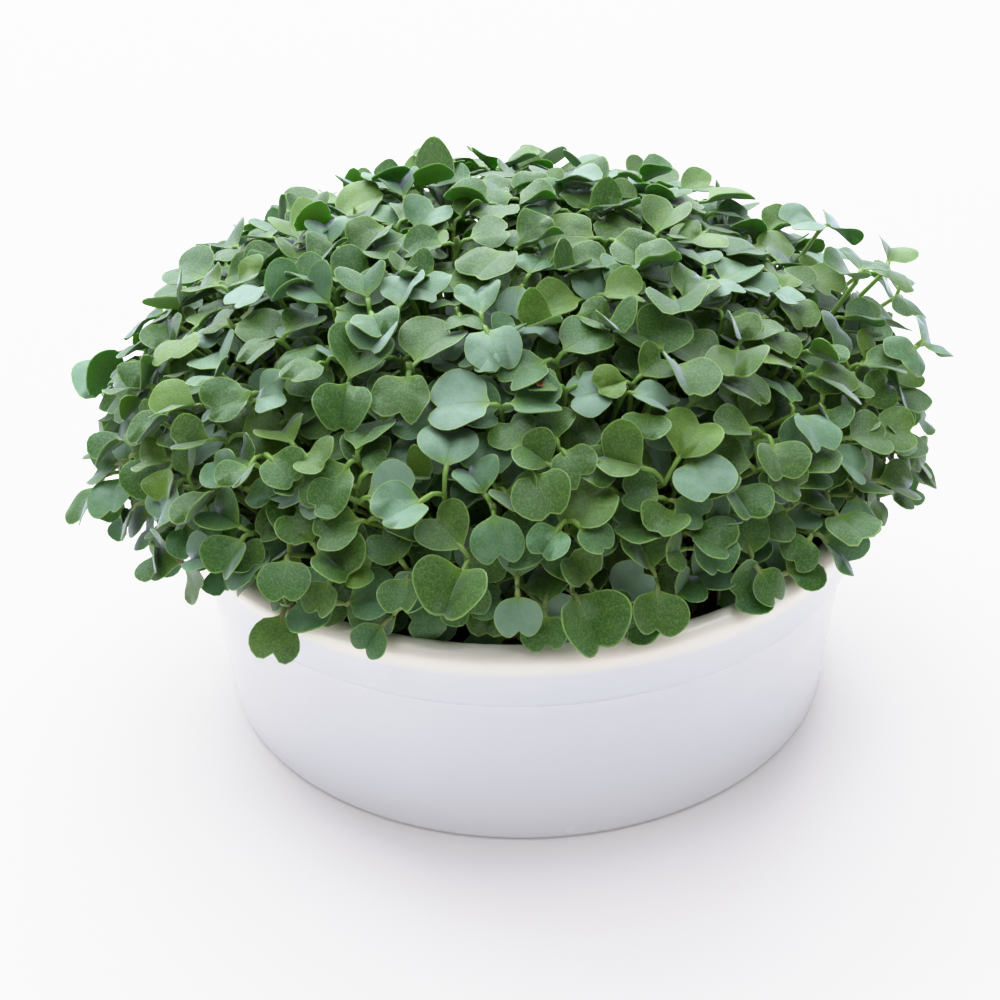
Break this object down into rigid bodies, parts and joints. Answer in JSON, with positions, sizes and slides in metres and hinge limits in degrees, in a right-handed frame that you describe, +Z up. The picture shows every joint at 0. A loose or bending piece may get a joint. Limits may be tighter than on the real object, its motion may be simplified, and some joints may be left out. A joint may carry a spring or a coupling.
{
  "type": "microgreens dish",
  "caption": "Round glazed dish filled with growing medium and packed with brassica seedlings, whose two-lobed seed leaves make a dome over the lip.",
  "frame": {"origin": "centre of the dish's flat base", "axes": "+Z up along the dish's axis; -Y is the side that the picture shows"},
  "size_m": [0.1904, 0.174, 0.11],
  "materials": {
    "white_glaze": "gloss",
    "growing_medium": "matte",
    "seed_leaf_green": "satin"
  },
  "bodies": {
    "root": {"bowl": "white_glaze", "soil": "growing_medium", "seedlings_01": "seed_leaf_green", "seedlings_02": "seed_leaf_green", "seedlings_03": "seed_leaf_green", "seedlings_04": "seed_leaf_green", "seedlings_05": "seed_leaf_green", "seedlings_06": "seed_leaf_green", "seedlings_07": "seed_leaf_green", "seedlings_08": "seed_leaf_green", "seedlings_09": "seed_leaf_green", "seedlings_10": "seed_leaf_green", "seedlings_11": "seed_leaf_green", "seedlings_12": "seed_leaf_green", "seedlings_13": "seed_leaf_green", "seedlings_14": "seed_leaf_green", "seedlings_15": "seed_leaf_green", "seedlings_16": "seed_leaf_green", "seedlings_17": "seed_leaf_green", "seedlings_18": "seed_leaf_green", "seedlings_19": "seed_leaf_green", "seedlings_20": "seed_leaf_green", "seedlings_21": "seed_leaf_green", "seedlings_22": "seed_leaf_green", "seedlings_23": "seed_leaf_green", "seedlings_24": "seed_leaf_green", "seedlings_25": "seed_leaf_green", "seedlings_26": "seed_leaf_green", "seedlings_27": "seed_leaf_green", "seedlings_28": "seed_leaf_green", "seedlings_29": "seed_leaf_green", "seedlings_30": "seed_leaf_green", "seedlings_31": "seed_leaf_green", "seedlings_32": "seed_leaf_green", "seedlings_33": "seed_leaf_green", "seedlings_34": "seed_leaf_green", "seedlings_35": "seed_leaf_green", "seedlings_36": "seed_leaf_green", "seedlings_37": "seed_leaf_green", "seedlings_38": "seed_leaf_green", "seedlings_39": "seed_leaf_green", "seedlings_40": "seed_leaf_green", "seedlings_41": "seed_leaf_green", "seedlings_42": "seed_leaf_green"}
  },
  "joints": []
}
